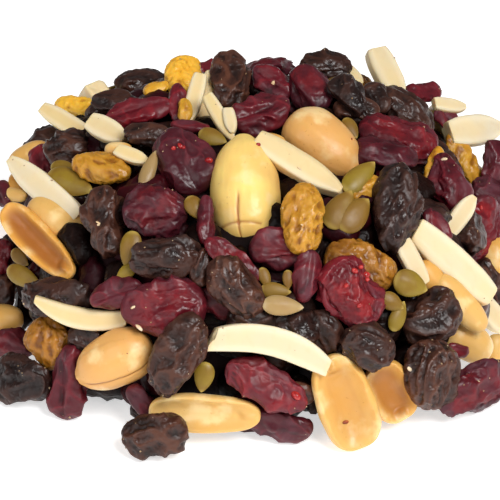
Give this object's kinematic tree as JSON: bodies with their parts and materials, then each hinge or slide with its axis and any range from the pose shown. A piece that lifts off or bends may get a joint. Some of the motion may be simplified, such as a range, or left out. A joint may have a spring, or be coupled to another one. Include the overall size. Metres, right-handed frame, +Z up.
{
  "type": "heap of trail mix",
  "caption": "Loose heap of trail mix on its own flat underside: peanuts, almond slivers, raisins, dried cranberries and pumpkin seeds lying over each other in a low mound.",
  "frame": {"origin": "on the surface the heap lies on, under the middle of the mound", "axes": "+Z up, -Y towards the side the picture shows, +X to the right seen from that side"},
  "size_m": [0.0912, 0.0919, 0.0385],
  "materials": {
    "mix": "mixed nuts and dried fruit, mostly dark red and brown",
    "peanut": "roasted, satin with a trace of oil",
    "almond": "blanched and cut, matte",
    "raisin": "wrinkled, half glossy",
    "cranberry": "folded, half glossy",
    "golden_raisin": "wrinkled, half glossy and a little clear",
    "pumpkin_seed": "hulled, satin"
  },
  "bodies": {
    "root": {"trail_mix_heap": "mix"}
  },
  "joints": []
}
